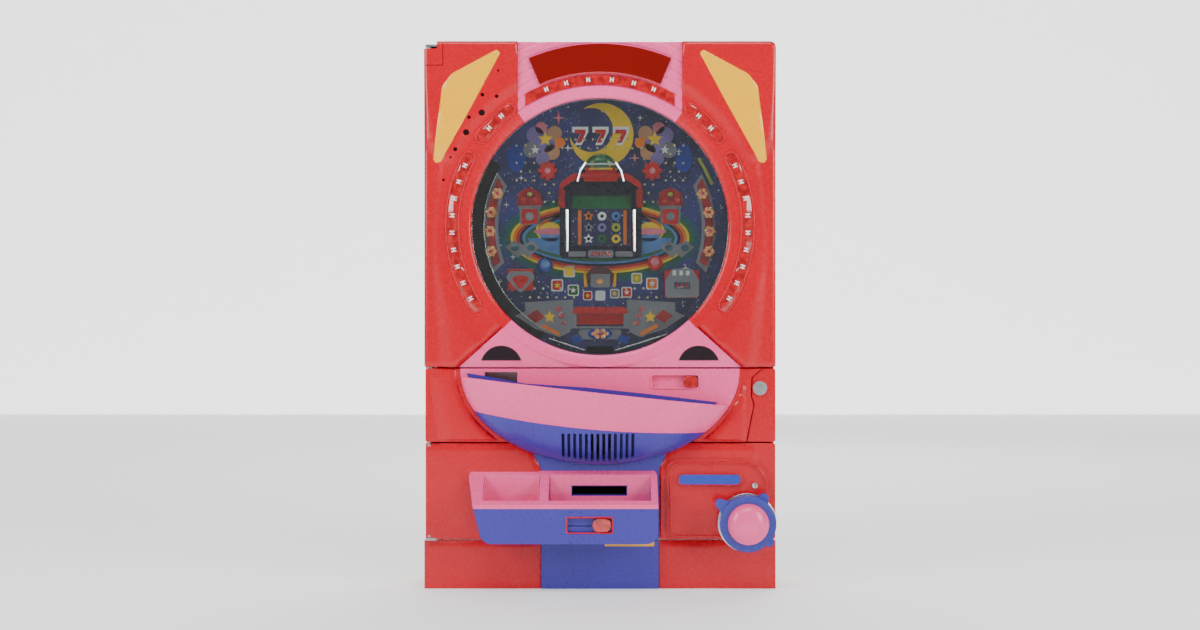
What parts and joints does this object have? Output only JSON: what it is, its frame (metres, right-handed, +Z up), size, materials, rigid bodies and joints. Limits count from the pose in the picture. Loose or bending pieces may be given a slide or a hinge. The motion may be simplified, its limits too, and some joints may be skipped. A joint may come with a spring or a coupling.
{
  "type": "pachinko machine",
  "caption": "Upright pachinko machine in a wooden outer frame, with a swinging main frame, round glass door, tray door with bowl-shaped upper tray, lower tray and turning launch handle",
  "frame": {"origin": "middle of the outer frame's base, on the surface it stands on", "axes": "+Z up; the player stands on the -Y side; +X is the player's right"},
  "size_m": [0.52, 0.257, 0.81],
  "materials": {
    "frame_wood": "sanded plywood, clear sealed",
    "red_panel": "gloss moulded plastic",
    "violet_panel": "satin gloss moulded plastic",
    "pink_panel": "gloss moulded plastic",
    "dark_red_plate": "gloss",
    "red_lens": "translucent moulded lens",
    "yellow_lens": "translucent moulded lens",
    "dark_window": "smoked acrylic",
    "zinc_steel": "zinc plated",
    "rail_steel": "polished strip",
    "nail_brass": "polished",
    "pane_glass": "clear float glass",
    "field_print": "printed and laminated playfield board",
    "field_trim": "coloured playfield mouldings",
    "screen": "display screen",
    "black_plastic": "textured structural moulding",
    "clear_plastic": "clear polycarbonate",
    "white_plastic": "plain moulding",
    "blue_dial": "gloss moulded plastic"
  },
  "bodies": {
    "outer_frame": {"frame_side_boards": "frame_wood", "frame_cross_boards": "frame_wood", "skirt_cover": "red_panel", "skirt_centre_panel": "violet_panel", "skirt_label": "yellow_lens", "frame_fittings": "zinc_steel"},
    "main_frame": {"main_frame_moulding": "black_plastic", "main_hinge_leaves": "zinc_steel", "lower_panel": "red_panel", "neck_panel": "violet_panel", "handle_plate": "red_panel", "lower_tray_body": "violet_panel", "lower_tray_rim": "pink_panel", "handle_base": "rail_steel", "handle_cap": "pink_panel", "lock_side_panel": "red_panel", "lock_case": "zinc_steel", "playfield_board": "field_print", "guide_rails": "rail_steel", "playfield_nails": "nail_brass", "display_housing": "field_trim", "display_screen": "screen", "playfield_lamps": "field_trim", "side_pockets": "field_trim", "centre_pockets": "field_trim", "launch_unit": "zinc_steel", "rear_mechanism_frame": "black_plastic", "ball_tank": "clear_plastic", "payout_case": "white_plastic", "circuit_cases": "clear_plastic"},
    "glass_door": {"glass_door_frame": "black_plastic", "side_panel_left": "red_panel", "side_panel_right": "red_panel", "top_band": "pink_panel", "title_plate": "dark_red_plate", "lamp_lenses": "red_lens", "corner_lenses": "yellow_lens", "door_apron": "pink_panel", "sensor_windows": "dark_window", "glass_panes": "pane_glass", "window_spacer": "black_plastic"},
    "tray_door": {"tray_door_panel": "pink_panel", "tray_side_panels": "red_panel", "tray_lip": "pink_panel", "tray_bowl": "violet_panel", "speaker_unit": "black_plastic"},
    "tray_release": {"tray_release_button": "red_lens"},
    "lower_release": {"lower_release_button": "red_lens"},
    "handle_dial": {"handle_dial": "blue_dial"},
    "lock_plug": {"lock_plug": "rail_steel"},
    "lock_bar": {"lock_bar": "zinc_steel"},
    "spinner_left": {"spinner_left": "field_trim"},
    "spinner_right": {"spinner_right": "field_trim"},
    "start_wing_left": {"start_wing_left": "yellow_lens"},
    "start_wing_right": {"start_wing_right": "yellow_lens"},
    "attacker_door": {"attacker_door": "field_trim"},
    "launcher_hammer": {"launcher_hammer": "zinc_steel"},
    "payout_wheel": {"payout_wheel": "white_plastic"},
    "rear_cover": {"rear_cover": "clear_plastic"},
    "ashtray_cup": {"ashtray_cup": "rail_steel"}
  },
  "joints": [
    {"name": "main_frame_swing", "type": "hinge", "parent": "outer_frame", "child": "main_frame", "pos_m": [-0.252, -0.078, 0.44], "axis": [0, 0, -1], "range_deg": [0, 90]},
    {"name": "glass_door_swing", "type": "hinge", "parent": "main_frame", "child": "glass_door", "pos_m": [-0.252, -0.078, 0.56], "axis": [0, 0, -1], "range_deg": [0, 85]},
    {"name": "tray_door_swing", "type": "hinge", "parent": "main_frame", "child": "tray_door", "pos_m": [-0.252, -0.078, 0.27], "axis": [0, 0, -1], "range_deg": [0, 85]},
    {"name": "tray_release_slide", "type": "slide", "parent": "tray_door", "child": "tray_release", "axis": [-1, 0, 0], "range_m": [0, 0.03], "stiffness_N_per_m": 60},
    {"name": "lower_release_slide", "type": "slide", "parent": "main_frame", "child": "lower_release", "axis": [-1, 0, 0], "range_m": [0, 0.03]},
    {"name": "handle_dial_turn", "type": "hinge", "parent": "main_frame", "child": "handle_dial", "pos_m": [0.215, -0.12, 0.1015], "axis": [0, 1, 0], "range_deg": [0, 100], "stiffness_Nm_per_rad": 0.06},
    {"name": "lock_turn", "type": "hinge", "parent": "main_frame", "child": "lock_plug", "pos_m": [0.236, -0.07, 0.297], "axis": [0, 1, 0], "range_deg": [-40, 40], "stiffness_Nm_per_rad": 0.06},
    {"name": "lock_bar_slide", "type": "slide", "parent": "main_frame", "child": "lock_bar", "axis": [0, 0, 1], "range_m": [-0.0059, 0.0059]},
    {"name": "spinner_left_spin", "type": "hinge", "parent": "main_frame", "child": "spinner_left", "pos_m": [-0.078, -0.0565, 0.62], "axis": [0, 1, 0], "continuous": true},
    {"name": "spinner_right_spin", "type": "hinge", "parent": "main_frame", "child": "spinner_right", "pos_m": [0.078, -0.0565, 0.62], "axis": [0, 1, 0], "continuous": true},
    {"name": "start_wing_left_swing", "type": "hinge", "parent": "main_frame", "child": "start_wing_left", "pos_m": [-0.021, -0.055, 0.449], "axis": [0, -1, 0], "range_deg": [0, 50], "stiffness_Nm_per_rad": 0.0002},
    {"name": "start_wing_right_swing", "type": "hinge", "parent": "main_frame", "child": "start_wing_right", "pos_m": [0.021, -0.055, 0.449], "axis": [0, 1, 0], "range_deg": [0, 50]},
    {"name": "attacker_door_swing", "type": "hinge", "parent": "main_frame", "child": "attacker_door", "pos_m": [0, -0.0495, 0.3915], "axis": [1, 0, 0], "range_deg": [0, 70], "stiffness_Nm_per_rad": 0.005},
    {"name": "hammer_swing", "type": "hinge", "parent": "main_frame", "child": "launcher_hammer", "pos_m": [0.066, -0.0515, 0.323], "axis": [0, 1, 0], "range_deg": [0, 20], "stiffness_Nm_per_rad": 0.02},
    {"name": "payout_wheel_spin", "type": "hinge", "parent": "main_frame", "child": "payout_wheel", "pos_m": [0.165, 0.059, 0.54], "axis": [1, 0, 0], "continuous": true},
    {"name": "rear_cover_swing", "type": "hinge", "parent": "main_frame", "child": "rear_cover", "pos_m": [-0.138, 0.04, 0.56], "axis": [0, 0, 1], "range_deg": [0, 90]},
    {"name": "ashtray_lift", "type": "slide", "parent": "main_frame", "child": "ashtray_cup", "axis": [0, 0, 1], "range_m": [0, 0.012]}
  ],
  "couplings": [
    {"joint": "lock_turn", "follows": "lock_bar_slide", "rad_per_m": 117.6},
    {"joint": "start_wing_right_swing", "follows": "start_wing_left_swing", "ratio": 1}
  ]
}
